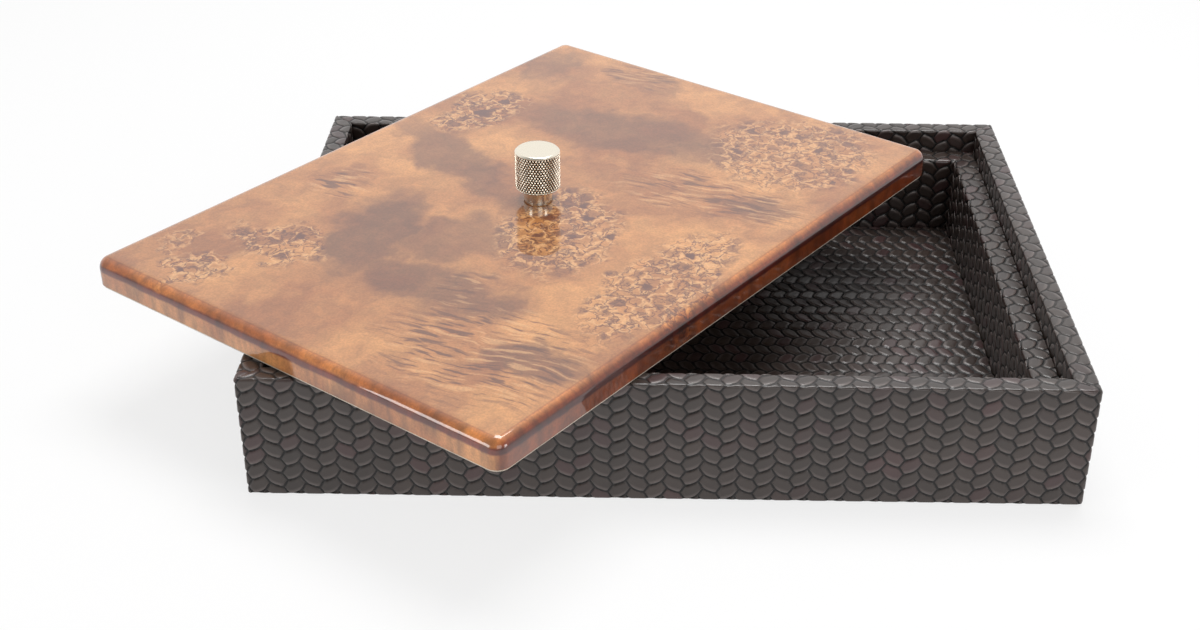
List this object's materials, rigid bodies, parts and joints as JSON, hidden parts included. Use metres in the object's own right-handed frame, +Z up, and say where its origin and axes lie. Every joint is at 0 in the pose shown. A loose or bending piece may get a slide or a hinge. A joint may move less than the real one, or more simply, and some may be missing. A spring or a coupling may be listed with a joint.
{
  "type": "stationery box",
  "caption": "Shallow rectangular box for papers, wrapped in woven-embossed leather, with a rebated inner ledge and a lift-off lacquered burl lid with a knurled metal knob.",
  "frame": {"origin": "middle of the tray's underside, on the table", "axes": "+X along the tray's length to the right, +Y away from the front, +Z up"},
  "size_m": [0.4228, 0.3962, 0.0969],
  "materials": {
    "embossed_leather": "dark taupe-brown leather embossed with a braided herringbone weave, semi-matt",
    "board": "plain fibreboard, sawn",
    "card": "grey card",
    "suede": "black-brown suede, napped",
    "burl_veneer": "burl veneer under high-gloss lacquer",
    "lining": "pale lining, matt",
    "nickel": "satin nickel plate, knurled and turned",
    "steel": "zinc-plated steel"
  },
  "bodies": {
    "box": {"base_pad": "suede", "base_board": "board", "front_wall": "board", "right_wall": "board", "back_wall": "board", "left_wall": "board", "front_wrap": "embossed_leather", "right_wrap": "embossed_leather", "back_wrap": "embossed_leather", "left_wrap": "embossed_leather", "front_ledge_rail": "board", "right_ledge_rail": "board", "back_ledge_rail": "board", "left_ledge_rail": "board", "front_ledge_cover": "embossed_leather", "right_ledge_cover": "embossed_leather", "back_ledge_cover": "embossed_leather", "left_ledge_cover": "embossed_leather", "floor_card": "card", "floor_leather": "embossed_leather"},
    "lid": {"lid_core": "board", "lid_veneer": "burl_veneer", "lid_lining": "lining", "knob": "nickel", "knob_screw": "steel", "knob_washer": "steel"}
  },
  "joints": [
    {"name": "lid_lift", "type": "slide", "parent": "box", "child": "lid", "axis": [0, 0, 1], "range_m": [0, 0.15]}
  ]
}
